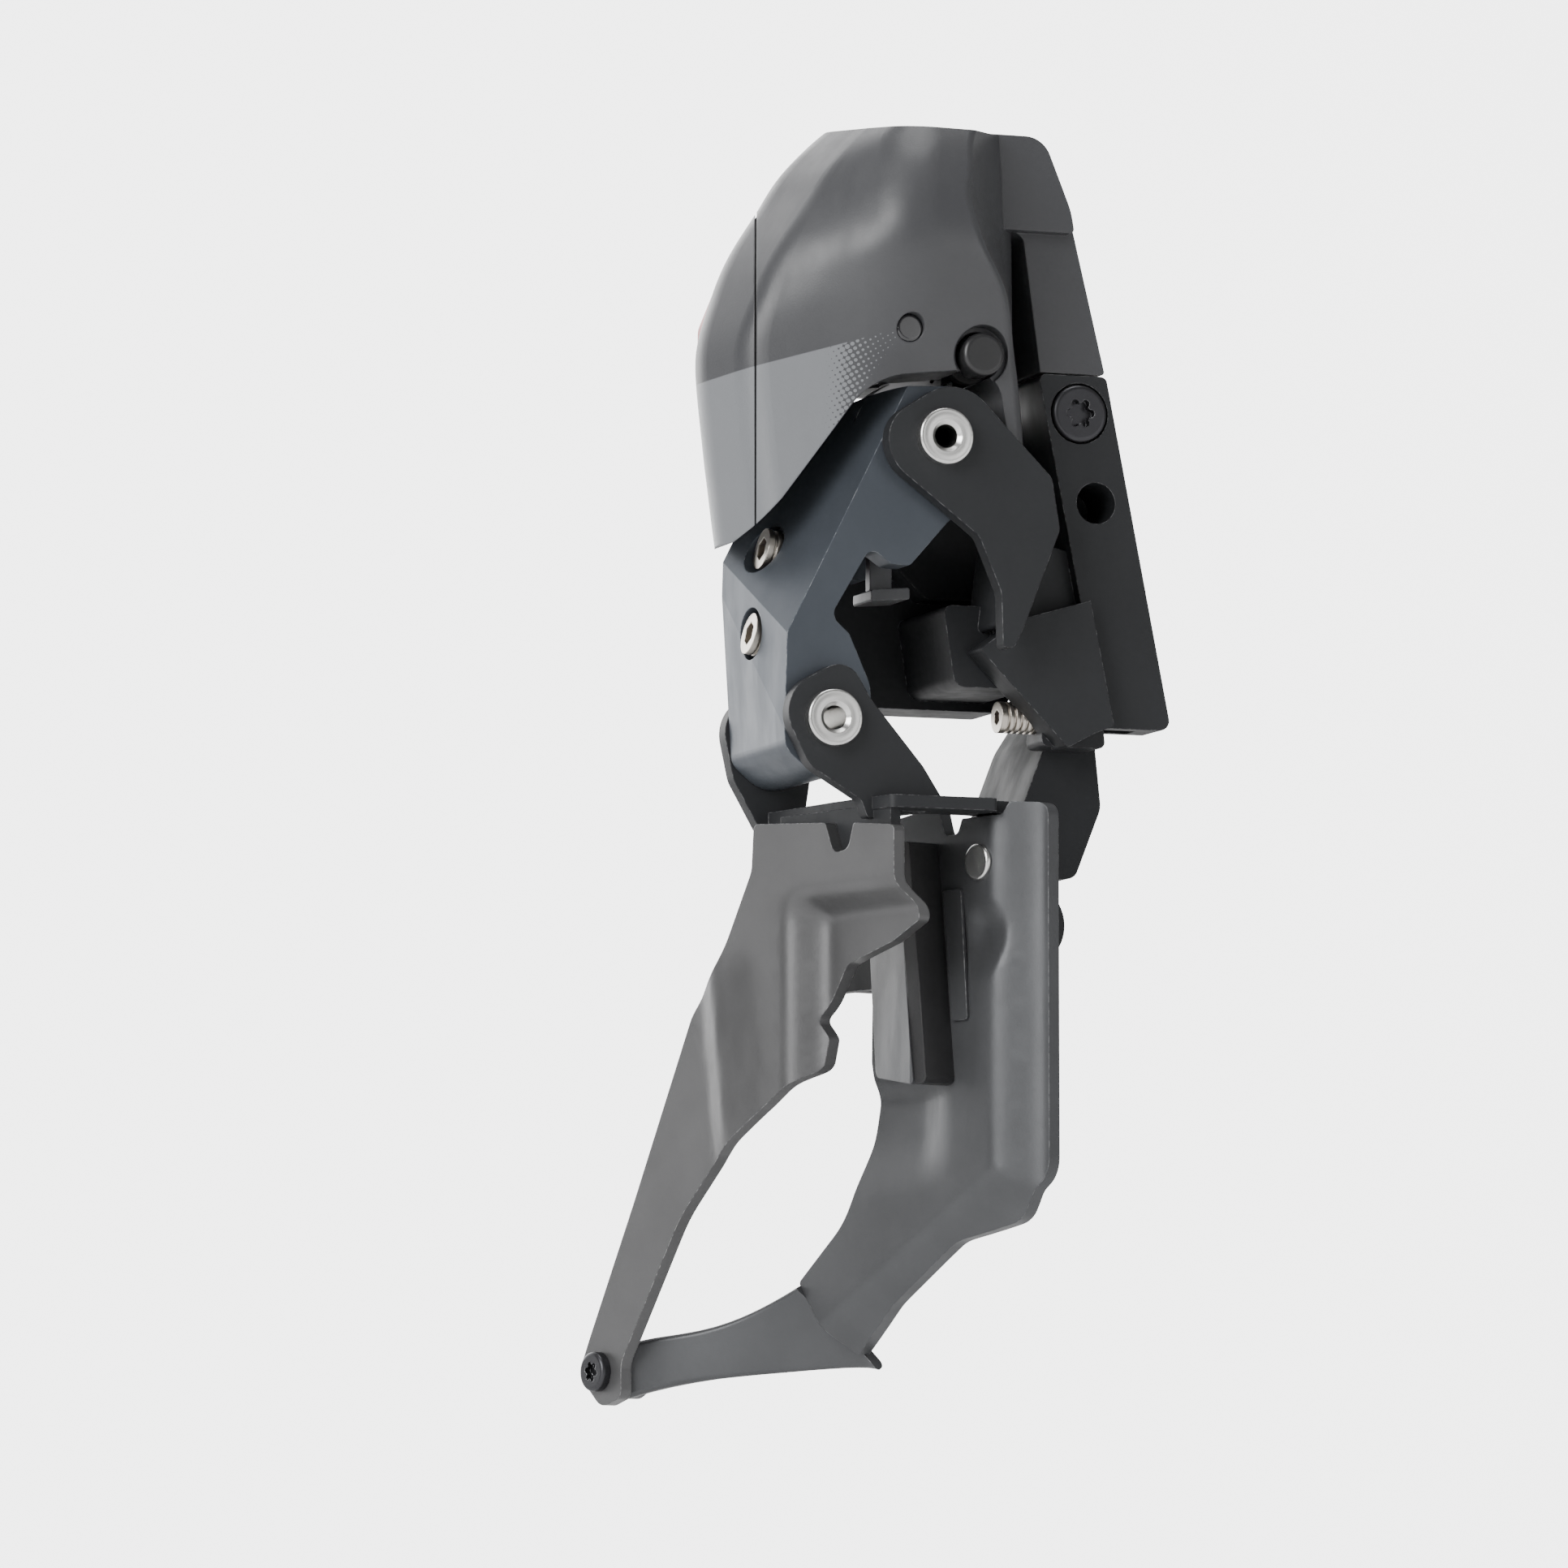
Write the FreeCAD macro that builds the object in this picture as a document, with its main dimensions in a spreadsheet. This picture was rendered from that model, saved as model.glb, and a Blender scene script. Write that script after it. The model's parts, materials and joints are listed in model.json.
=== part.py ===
import FreeCAD, Part
import math
import os
import Sketcher
from FreeCAD import Vector

# Electronic front derailleur. Every piece is drawn in the linkage's frame: millimetres, the
# upper outer pivot on the Y axis with its front ear's face at Y = 0, X towards the bicycle
# frame, Y rearwards, Z up. Placements then move the whole to the frame mount's seat.

doc = FreeCAD.newDocument("front_derailleur")


# ---------------------------------------------------------------- driving dimensions
DIMENSIONS = {
    # linkage: a true parallelogram, so opposite links stay parallel
    "link_dx": -14.1, "link_dz": -34.1,
    "inner_x": 28.5, "inner_z": -22.5,
    "ear_thick": 2.2, "ear_radius": 5.7,
    "link_front": 2.5, "link_rear": 21.5, "rear_ear_front": 21.8,
    "inner_front": 14.3, "inner_rear": 31.7,
    # pivots
    "pin_radius": 2.5, "pin_bore": 1.4, "pin_head": 3.4, "pin_head_thick": 1.5,
    "bush_inner": 2.55, "bush_outer": 3.3, "bush_length": 4.0, "bush_flange": 4.3,
    "bush_flange_thick": 0.2,
    # bracket bar and the frame mount in its right face
    "mount_x": 25.0, "mount_y": 22.0, "bar_tilt": 11.0, "bar_width": 8.6,
    "bar_front": 8.0, "bar_depth": 26.0, "bar_top": 9.6, "bar_bottom": -33.0,
    "mount_tap": 2.1, "mount_depth": 6.0, "seat_radius": 16.0, "seat_depth": 1.0,
    "accessory_tap": 2.5, "accessory_depth": 9.0,
    # electronics housing
    "cover_plane": -20.8, "seam_y": 7.7, "seam_turn": 20.0, "seam_gap": 0.2,
    "top_front": 37.5, "top_tilt": 5.6, "bay_back": 30.0,
    # cage
    "plate_thick": 1.6, "outer_yaw": 18.0, "tail_screw_head": 2.4,
    # adjusting screws
    "limit_radius": 2.5, "support_radius": 1.9,
}

sheet = doc.addObject("Spreadsheet::Sheet", "Dimensions")
for row, (alias, value) in enumerate(DIMENSIONS.items(), start=1):
    sheet.set(f"A{row}", alias)
    sheet.set(f"B{row}", str(value))
    sheet.setAlias(f"B{row}", alias)
doc.recompute()


def dim(alias):
    """The present value of one cell of the sheet."""
    return float(getattr(sheet, alias))


LINK_PIVOT = (dim("link_dx"), dim("link_dz"))
INNER_PIVOT = (dim("inner_x"), dim("inner_z"))
CAGE_PIVOT = (INNER_PIVOT[0] + LINK_PIVOT[0], INNER_PIVOT[1] + LINK_PIVOT[1])
TO_MOUNT = FreeCAD.Placement(Vector(-dim("mount_x"), -dim("mount_y"), 0), FreeCAD.Rotation())
NODES = []


# ---------------------------------------------------------------- drawing helpers
def new_body(label, local=FreeCAD.Placement()):
    """A PartDesign body that is one sub-part, placed in the mount's frame."""
    body = doc.addObject("PartDesign::Body", label)
    body.Label = label
    body.Placement = TO_MOUNT.multiply(local)
    NODES.append(body)
    return body


def keep(obj, label, local=FreeCAD.Placement()):
    """Make any other solid object a sub-part."""
    obj.Label = label
    obj.Placement = TO_MOUNT.multiply(local)
    NODES.append(obj)
    return obj


def plane_of(body, role):
    """One of the body's own origin planes."""
    return next(f for f in body.Origin.OriginFeatures if f.Role == role)


def rounded(points):
    """Edges of a closed outline. A point is (x, y) or (x, y, r), r rounding its corner."""
    corners = []
    count = len(points)
    for i, point in enumerate(points):
        here = Vector(point[0], point[1], 0)
        radius = point[2] if len(point) > 2 else 0
        if not radius:
            corners.append((here, None, here))
            continue
        before = Vector(points[i - 1][0], points[i - 1][1], 0) - here
        after = Vector(points[(i + 1) % count][0], points[(i + 1) % count][1], 0) - here
        half = before.getAngle(after) / 2
        reach = radius / math.tan(half)
        reach = min(reach, 0.49 * before.Length, 0.49 * after.Length)
        start = here + before.normalize() * reach
        end = here + after.normalize() * reach
        bisector = (before + after).normalize()
        centre = here + bisector * (reach / math.cos(half))
        middle = centre - bisector * (reach * math.tan(half))
        corners.append((start, middle, end))
    edges = []
    for i, (start, middle, end) in enumerate(corners):
        if middle is not None:
            edges.append(Part.Arc(start, middle, end))
        following = corners[(i + 1) % count][0]
        if end.distanceToPoint(following) > 1e-4:
            edges.append(Part.LineSegment(end, following))
    return edges


def sketch(body, name, role, offset, outlines=(), circles=(), tip=None):
    """A sketch on an origin plane: outlines of points, and circles (x, y, radius expression).

    tip is a Placement that tilts the sketch out of its plane, in place of the offset.
    """
    drawn = body.newObject("Sketcher::SketchObject", name)
    drawn.AttachmentSupport = [(plane_of(body, role), "")]
    drawn.MapMode = "FlatFace"
    if tip is None:
        drawn.setExpression("AttachmentOffset.Base.z", str(offset))
    else:
        drawn.AttachmentOffset = tip
    for outline in outlines:
        for curve in rounded(outline):
            drawn.addGeometry(curve, False)
    for x, y, radius in circles:
        index = drawn.addGeometry(Part.Circle(Vector(x, y, 0), Vector(0, 0, 1), 1.0), False)
        number = drawn.addConstraint(Sketcher.Constraint("Radius", index, 1.0))
        drawn.setExpression(f"Constraints[{number}]", str(radius))
    return drawn


def pad(body, name, role, offset, length, outlines=(), circles=(), back=True, tip=None):
    """Pad a sketch. On XZ_Plane, back=True grows the solid towards +Y."""
    feature = body.newObject("PartDesign::Pad", name)
    feature.Profile = sketch(body, name + "_sketch", role, offset, outlines, circles, tip)
    feature.setExpression("Length", str(length))
    feature.Reversed = back
    doc.recompute()
    return feature


def pocket(body, name, role, offset, length, outlines=(), circles=(), back=True, tip=None):
    """Cut a sketch's prism out, and make sure that it cut something."""
    before = body.Shape.Volume
    feature = body.newObject("PartDesign::Pocket", name)
    feature.Profile = sketch(body, name + "_sketch", role, offset, outlines, circles, tip)
    feature.setExpression("Length", str(length))
    feature.Reversed = not back
    doc.recompute()
    if body.Shape.Volume > before - 1e-3:
        raise RuntimeError(f"{body.Label}: pocket {name} cuts nothing")
    return feature


def soften(body, name, radius, wanted, kind="Fillet"):
    """Fillet or chamfer the edges of the body's present shape that wanted(edge) picks."""
    base = body.Tip
    picked = [f"Edge{i}" for i, edge in enumerate(base.Shape.Edges, start=1) if wanted(edge)]
    if not picked:
        raise RuntimeError(f"{body.Label}: {name} finds no edge")
    feature = body.newObject(f"PartDesign::{kind}", name)
    feature.Base = (base, picked)
    feature.setExpression("Radius" if kind == "Fillet" else "Size", str(radius))
    doc.recompute()
    return feature


def facing(point, normal):
    """A placement at a point whose local Z is the normal."""
    return FreeCAD.Placement(Vector(*point), FreeCAD.Rotation(Vector(0, 0, 1), Vector(*normal)))


def shave(body, name, point, normal, size=90):
    """Plane off everything beyond a point, on the side that the normal points to."""
    square = [(-size, -size), (size, -size), (size, size), (-size, size)]
    return pocket(body, name, "XY_Plane", 0, size, [square], back=False, tip=facing(point, normal))


def drill(body, name, point, outward, radius, depth):
    """A round hole from a point into the body; outward is the way that a screw leaves it."""
    return pocket(body, name, "XY_Plane", 0, depth, circles=[(0, 0, radius)],
                  tip=facing(point, outward))


def group(label, solids):
    """Several separate solids as one sub-part."""
    made = doc.addObject("Part::Feature", label)
    made.Shape = Part.makeCompound(solids)
    return keep(made, label)


def turned(centre, radius, angle):
    """The point at an angle in degrees round a centre, in the X-Z plane."""
    return (centre[0] + radius * math.cos(math.radians(angle)),
            centre[1] + radius * math.sin(math.radians(angle)))


# ---------------------------------------------------------------- bracket, fixed to the bicycle
TILT = math.radians(dim("bar_tilt"))
MOUNT_AXIS = (math.cos(TILT), 0, math.sin(TILT))
SUPPORT_Y, SUPPORT_Z = 11.4, -31.8


def bar_point(across_bar, z):
    """X of a point of the tilted bar: 0 is its right face, bar_width its left one."""
    right = dim("mount_x") + dim("seat_depth") / math.cos(TILT) - z * math.tan(TILT)
    return (right - across_bar / math.cos(TILT), z)


def make_bracket():
    """Bar with the frame mount, front and rear ears of the outer pivot, clevis of the inner one."""
    body = new_body("base_bracket")
    width = dim("bar_width")
    top, bottom = dim("bar_top"), dim("bar_bottom")
    bar = [bar_point(width, top) + (0.8,), bar_point(0, top) + (0.8,),
           bar_point(0, bottom) + (1.2,), bar_point(width, bottom) + (0.8,)]
    pad(body, "Bar", "XZ_Plane", "-Dimensions.bar_front", "Dimensions.bar_depth", [bar])
    ear = dim("ear_radius")
    front_ear = [turned((0, 0), ear * 1.27, 165) + (ear,), turned((0, 0), ear * 1.4, 75) + (ear,),
                 (13.9, -4.2, 1.5), (14.9, -10.4, 1.5), (10.2, -22.4, 1.2), (9.0, -24.8, 0.8),
                 (7.6, -24.8, 0.5), (7.4, -18.2, 3.0), (4.6, -11.6, 2.0),
                 turned((0, 0), ear * 1.3, 205) + (ear,)]
    pad(body, "FrontEar", "XZ_Plane", 0, "Dimensions.ear_thick", [front_ear])
    stem = [(10.0, -9.5, 0.5), (13.8, -9.8, 0.5), (9.8, -21.8, 0.8), (8.4, -21.8, 0.8)]
    pad(body, "Stem", "XZ_Plane", -1.5, 12.5, [stem])
    web = [(10.4, -9.5, 0.5), (21.5, -12.0), (21.5, -24.5), (10.0, -23.8, 0.8)]
    pad(body, "Web", "XZ_Plane", -9.6, 4.4, [web])
    skirt = [(6.8, -24.4, 0.3), (12.0, -20.6), (21.0, -18.0), (24.0, -33.0, 0.4), (21.4, -34.0, 0.6),
             (18.0, -35.8, 0.6)]
    pad(body, "Skirt", "XZ_Plane", -5.4, 4.6, [skirt])
    boss = [(16.0, -28.0, 0.6), (23.4, -28.0), (24.2, -35.4, 0.8), (16.0, -35.4, 0.8)]
    pad(body, "SupportBoss", "XZ_Plane", -8.8, 5.0, [boss])
    rear_ear = [turned((0, 0), ear * 1.3, 150) + (ear,), turned((0, 0), ear * 1.4, 60) + (ear,),
                (18.0, 2.0), (18.0, -16.5), (6.0, -16.5, 2.0),
                turned((0, 0), ear * 1.3, 220) + (ear,)]
    pad(body, "RearEar", "XZ_Plane", "-Dimensions.rear_ear_front", 4.4, [rear_ear])
    rear_wall = [(-7.0, -5.0, 2.0), (-3.0, 5.5, 3.0), (18.5, 5.5), (18.5, -29.5, 2.0),
                 (-5.0, -29.5, 3.0)]
    pad(body, "RearWall", "XZ_Plane", -26, 8, [rear_wall])
    gear_case = [(4.0, -18.6, 1.0), (16.0, -18.6), (16.0, -28.4, 1.0), (5.5, -28.4, 1.5)]
    pad(body, "GearCase", "XZ_Plane", -10.5, 18, [gear_case])
    inner_x, inner_z = INNER_PIVOT
    lug = [(inner_x - 6.5, inner_z + 5.0), (inner_x + 2.0, inner_z + 4.3, 2.0),
           (inner_x + 4.1, inner_z, 3.0), (inner_x + 2.6, inner_z - 4.2, 2.0),
           (inner_x - 5.0, inner_z - 4.0, 2.0)]
    pad(body, "RearLug", "XZ_Plane", -32, 2.2, [lug])
    return body


def cut_bracket(body):
    """The inner link's slot, the pins' bores, and every screw's hole and seat."""
    width = dim("bar_width")
    inner_x, inner_z = INNER_PIVOT
    slot = [(inner_x - 9.2, inner_z - 16.0), (inner_x - 9.2, inner_z + 1.0, 2.0),
            (inner_x - 4.0, inner_z + 4.4, 2.0), (inner_x + 8.0, inner_z + 4.4),
            (inner_x + 8.0, inner_z - 16.0)]
    pocket(body, "InnerLinkSlot", "XZ_Plane", "-Dimensions.inner_front + 0.3", 18, [slot])
    pocket(body, "OuterPinBore", "XZ_Plane", 1, 30, circles=[(0, 0, "Dimensions.pin_radius")])
    pocket(body, "ClipWell", "XZ_Plane", -26, 1.4, circles=[(0, 0, 3.8)])
    pocket(body, "InnerPinBore", "XZ_Plane", -10, 26,
           circles=[(inner_x, inner_z, "Dimensions.pin_radius")])
    accessory = bar_point(width / 2, -5.8)
    pocket(body, "AccessoryTap", "XZ_Plane", "-Dimensions.bar_front", "Dimensions.accessory_depth",
           circles=[accessory + ("Dimensions.accessory_tap",)])
    for name, z, depth, radius in (("ScrewSeat", 5.0, 1.2, 3.7), ("ScrewBore", 5.0, 9.0, 2.0)):
        pocket(body, name, "XZ_Plane", "-Dimensions.bar_front", depth,
               circles=[bar_point(width / 2, z) + (radius,)])
    seat = FreeCAD.Placement(Vector(0, 0, 0), FreeCAD.Rotation(Vector(0, 1, 0), -dim("bar_tilt")))
    seat = seat.multiply(FreeCAD.Placement(Vector(0, 0, 10), FreeCAD.Rotation()))
    centre = dim("mount_x") * math.cos(TILT) + dim("seat_radius")
    pocket(body, "MountSeat", "XY_Plane", 0, 24, tip=seat,
           circles=[(centre, dim("mount_y"), "Dimensions.seat_radius")])
    mount = (dim("mount_x") + 2 * math.cos(TILT), dim("mount_y"), 2 * math.sin(TILT))
    drill(body, "MountTap", mount, MOUNT_AXIS, "Dimensions.mount_tap", "Dimensions.mount_depth + 2")
    drill(body, "SupportTap", (10.0, SUPPORT_Y, SUPPORT_Z), (-1, 0, 0),
          "Dimensions.support_radius", 18.6)


cut_bracket(make_bracket())


# ---------------------------------------------------------------- pivots
def pivot_pin(label, x, z, front, back, blind=False):
    """A hollow pin across two ears, with a round head in front; blind ones have it behind."""
    body = new_body(label)
    head, shank = "Dimensions.pin_head", "Dimensions.pin_radius"
    thick = dim("pin_head_thick")
    pad(body, "Shank", "XZ_Plane", -front, back - front, circles=[(x, z, shank)])
    if blind:
        pad(body, "Head", "XZ_Plane", -back, 1.2, circles=[(x, z, head)])
    else:
        pad(body, "Head", "XZ_Plane", -front + thick, "Dimensions.pin_head_thick",
            circles=[(x, z, head)])
        pad(body, "Upset", "XZ_Plane", -back, 1.0, circles=[(x, z, 3.2)])
    pocket(body, "Bore", "XZ_Plane", -front + 4, back - front + 8,
           circles=[(x, z, "Dimensions.pin_bore")])
    first = -thick + front
    soften(body, "RoundHead", 0.35, lambda edge: edge.BoundBox.YLength < 0.01
           and edge.BoundBox.XLength > 6 and (edge.BoundBox.YMin < first + 0.1
                                              or edge.BoundBox.YMin > back + 0.9))
    if not blind:
        soften(body, "Countersink", 0.5, lambda edge: edge.BoundBox.YLength < 0.01
               and edge.BoundBox.XLength < 3 and edge.BoundBox.YMin < first + 0.1, "Chamfer")
    return body


def bushes(label, places):
    """Flanged bushes pressed into a link. Each place is x, z, face and +1 or -1, the way in."""
    solids = []
    for x, z, face, inward in places:
        axis = Vector(0, inward, 0)
        start = Vector(x, face, z)
        sleeve = Part.makeCylinder(dim("bush_outer"), dim("bush_length"), start, axis)
        flange = Part.makeCylinder(dim("bush_flange"), dim("bush_flange_thick"), start, -axis)
        bore = Part.makeCylinder(dim("bush_inner"), 12, start - axis * 5, axis)
        solids.append(sleeve.fuse(flange).removeSplitter().cut(bore))
    return group(label, solids)


# ---------------------------------------------------------------- outer link
SCREW_AXIS = (math.cos(math.radians(12)), 0, -math.sin(math.radians(12)))
LIMIT_SCREWS = ((-17.1, 14.7, -12.4), (-19.4, 12.8, -22.9))


def make_outer_link():
    """The broad faceted link with the two limit screws in its outboard wall."""
    body = new_body("outer_link")
    outline = [(-17.2, -8.0, 2.5), turned((0, 0), 9.6, 140) + (7.0,), turned((0, 0), 9.6, 45) + (6.5,),
               (6.8, -5.2, 3.5), (1.4, -9.9, 1.0), (-3.3, -15.2, 0.8), (-5.6, -15.1, 0.8),
               (-8.3, -13.2, 1.2), (-13.3, -21.6, 1.5), (-11.0, -23.6, 1.5), (-8.4, -29.5, 4.0),
               (-7.6, -38.8, 5.0), (-14.7, -41.2, 5.0), (-19.0, -37.6, 2.5), (-20.5, -12.6, 2.0)]
    pad(body, "Block", "XZ_Plane", "-Dimensions.link_front",
        "Dimensions.link_rear - Dimensions.link_front", [outline])
    shave(body, "UpperBevel", (-9.9, 2.3, -6.4), (-0.851, -0.299, 0.431))
    shave(body, "OuterFace", (-18.9, 2.3, -28.0), (-0.996, -0.085, 0.03))
    channel = [(-9.6, -10.5, 1.0), (6.0, -10.5), (6.0, -28.5), (-15.0, -28.5, 1.5), (-15.0, -22.0, 3.0)]
    pocket(body, "Channel", "XZ_Plane", -6.5, 11, [channel])
    for number, place in enumerate(LIMIT_SCREWS, start=1):
        outward = [-value for value in SCREW_AXIS]
        mouth = [place[i] + outward[i] * 3 for i in range(3)]
        drill(body, f"LimitRecess{number}", mouth, outward, 3.1, 4.4)
        drill(body, f"LimitTap{number}", mouth, outward, "Dimensions.limit_radius", 14)
    for name, (x, z) in (("UpperBore", (0, 0)), ("LowerBore", LINK_PIVOT)):
        pocket(body, name, "XZ_Plane", 0, 24, circles=[(x, z, "Dimensions.bush_outer")])
    pocket(body, "SectorGroove", "XZ_Plane", -9.4, 3.2, circles=[(0, 0, 8.2), (0, 0, 5.2)])
    return body


def make_limit_screws():
    """Two threaded set screws with hexagon sockets."""
    solids = []
    axis = Vector(*SCREW_AXIS)
    for place in LIMIT_SCREWS:
        solids.append(set_screw(Vector(*place) - axis * 0.5, axis, dim("limit_radius"), 9.0, 2.5))
    return group("limit_screws", solids)


def set_screw(face, axis, radius, length, key):
    """A socket set screw: grooved shank, hexagon socket in its face, cone at its end."""
    screw = Part.makeCylinder(radius, length, face, axis)
    turns = int(length / 0.8)
    for turn in range(1, turns):
        at = face + axis * (0.8 * turn)
        ring = Part.makeCylinder(radius + 0.2, 0.3, at, axis)
        core = Part.makeCylinder(radius - 0.25, 0.3, at, axis)
        screw = screw.cut(ring.cut(core))
    corners = [Vector(key / math.sqrt(3) * math.cos(math.radians(60 * i)),
                      key / math.sqrt(3) * math.sin(math.radians(60 * i)), 0) for i in range(6)]
    socket = Part.Face(Part.makePolygon(corners + corners[:1])).extrude(Vector(0, 0, 2.4))
    socket.Placement = FreeCAD.Placement(face - axis * 0.1, FreeCAD.Rotation(Vector(0, 0, 1), axis))
    return screw.cut(socket)


pivot_pin("pivot_pin_upper_outer", 0, 0, 0, 26.2)
pivot_pin("pivot_pin_lower_outer", LINK_PIVOT[0], LINK_PIVOT[1], 0, 24.0)
pivot_pin("pivot_pin_upper_inner", INNER_PIVOT[0], INNER_PIVOT[1], 10.0, 34.2, blind=True)
pivot_pin("pivot_pin_lower_inner", CAGE_PIVOT[0], CAGE_PIVOT[1], 11.8, 34.2)
make_outer_link()
bushes("outer_link_bushes", [(x, z, face, inward) for x, z in ((0, 0), LINK_PIVOT)
                             for face, inward in ((dim("link_front"), 1), (dim("link_rear"), -1))])
make_limit_screws()


# ---------------------------------------------------------------- inner link
def make_inner_link():
    """Curved link behind the bar, from the bracket's clevis to the cage's inner ears."""
    body = new_body("inner_link")
    knuckle = 3.4
    outline = [turned(INNER_PIVOT, knuckle * 1.35, 150) + (knuckle,),
               turned(INNER_PIVOT, knuckle * 1.4, 60) + (knuckle,),
               turned(INNER_PIVOT, knuckle * 1.3, -30) + (knuckle,),
               (25.0, -34.0, 3.0), (25.8, -42.0, 3.0), (22.4, -50.6, 1.5), (18.3, -51.0, 2.0),
               turned(CAGE_PIVOT, knuckle * 1.35, -20) + (knuckle,),
               turned(CAGE_PIVOT, knuckle * 1.4, -110) + (knuckle,),
               turned(CAGE_PIVOT, knuckle * 1.35, 160) + (knuckle,),
               (12.6, -50.0, 4.0), (18.8, -34.0, 6.0), (22.6, -28.2, 4.0)]
    pad(body, "Plate", "XZ_Plane", "-Dimensions.inner_front",
        "Dimensions.inner_rear - Dimensions.inner_front", [outline])
    for name, (x, z) in (("UpperBore", INNER_PIVOT), ("LowerBore", CAGE_PIVOT)):
        pocket(body, name, "XZ_Plane", 0, 40, circles=[(x, z, "Dimensions.bush_inner")])
    relief = [(19.5, -46.5, 1.5), (16.8, -46.5, 1.5), (21.8, -33.0, 1.5), (23.4, -36.0, 1.5)]
    pocket(body, "Lightening", "XZ_Plane", -18, 10, [relief])
    return body


make_inner_link()


# ---------------------------------------------------------------- electronics housing
PINION_DIRECTION = 100.0
PINION = turned((0, 0), 12.0, PINION_DIRECTION)
BUTTON = (5.1, 10.2)
LENS = (-4.3, 12.9)
FORM_STEPS = 17
SEAL_INSET = 0.35
TOP_TILT = math.radians(dim("top_tilt"))
SEAM_NORMAL = (math.cos(math.radians(dim("seam_turn"))), -math.sin(math.radians(dim("seam_turn"))), 0)
BAY = [(-10.3, 10.0, 2.0), (9.0, 10.0, 3.0), (9.0, 31.5, 3.0), (-6.5, 31.5, 3.0), (-10.3, 26.0, 3.0)]
SECTIONS = (  # height, outboard side, inboard front corner, front face
    (40.0, -7.6, 5.0, 3.0), (36.6, -11.8, 4.0, 0.2), (33.2, -14.9, 3.0, -1.8), (28.0, -18.3, 2.2, -3.6),
    (22.7, -21.6, 3.8, -4.0), (17.5, -23.7, 7.2, -2.2), (11.2, -25.4, 9.3, 0.6),
    (3.0, -24.9, 10.8, 1.6), (-13.0, -22.9, 12.0, 2.0))


def section_at(z):
    """The form's left side, right corner and front face at a height, eased between sections."""
    above = next(i for i in range(1, len(SECTIONS)) if SECTIONS[i][0] <= z)
    upper, lower = SECTIONS[above - 1], SECTIONS[above]
    before, after = SECTIONS[max(above - 2, 0)], SECTIONS[min(above + 1, len(SECTIONS) - 1)]
    height = upper[0] - lower[0]
    part = (upper[0] - z) / height
    from_upper = 2 * part ** 3 - 3 * part ** 2 + 1
    upper_slope = part ** 3 - 2 * part ** 2 + part
    lower_slope = part ** 3 - part ** 2
    eased = []
    for k in (1, 2, 3):
        rise = (lower[k] - before[k]) / (before[0] - lower[0]) * height
        fall = (after[k] - upper[k]) / (upper[0] - after[0]) * height
        eased.append(from_upper * upper[k] + upper_slope * rise
                     + (1 - from_upper) * lower[k] + lower_slope * fall)
    return eased


def housing_blank(label, inset=0.0):
    """The moulded outer form that the housing, its cover and their seal share, before parting."""
    body = new_body(label)
    profiles = []
    top, bottom = SECTIONS[0][0], SECTIONS[-1][0]
    heights = [top - i * (top - bottom) / FORM_STEPS for i in range(FORM_STEPS + 1)]
    for number, z in enumerate(heights):
        left, right, front = section_at(z)
        left, right, front = left + inset, right - inset, front + inset
        middle = 0.175 * (left + right) - 3.2
        outline = [(right, front, 1.6), (middle, front - 0.9, 14.0),
                   (left + 3.4, front * 0.3 + 7.0, 6.0), (left, 16.5, 6.0),
                   (left + 5.2, 30.0, 2.5), (12.4, 30.0, 1.0), (12.4, 9.0, 1.6)]
        profiles.append(sketch(body, f"Section{number}", "XY_Plane", z, [outline]))
    loft = body.newObject("PartDesign::AdditiveLoft", "Form")
    loft.Profile = profiles[0]
    loft.Sections = profiles[1:]
    loft.Ruled = False
    doc.recompute()
    clear = 8.4
    below = [(-40.0, -40.0), (-40.0, -12.8), (-21.8, -12.0, 0.5), (-17.9, -7.2, 2.5),
             turned((0, 0), clear * 1.3, 140) + (clear,), turned((0, 0), clear * 1.38, 50) + (clear,),
             (8.8, 1.2, 1.0), (13.0, -2.0), (13.0, -40.0)]
    pocket(body, "LinkRelief", "XZ_Plane", 20, 70, [below])
    shave(body, "Top", (0, 2.0, dim("top_front")), (0, -math.sin(TOP_TILT), math.cos(TOP_TILT)))
    return body


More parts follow.
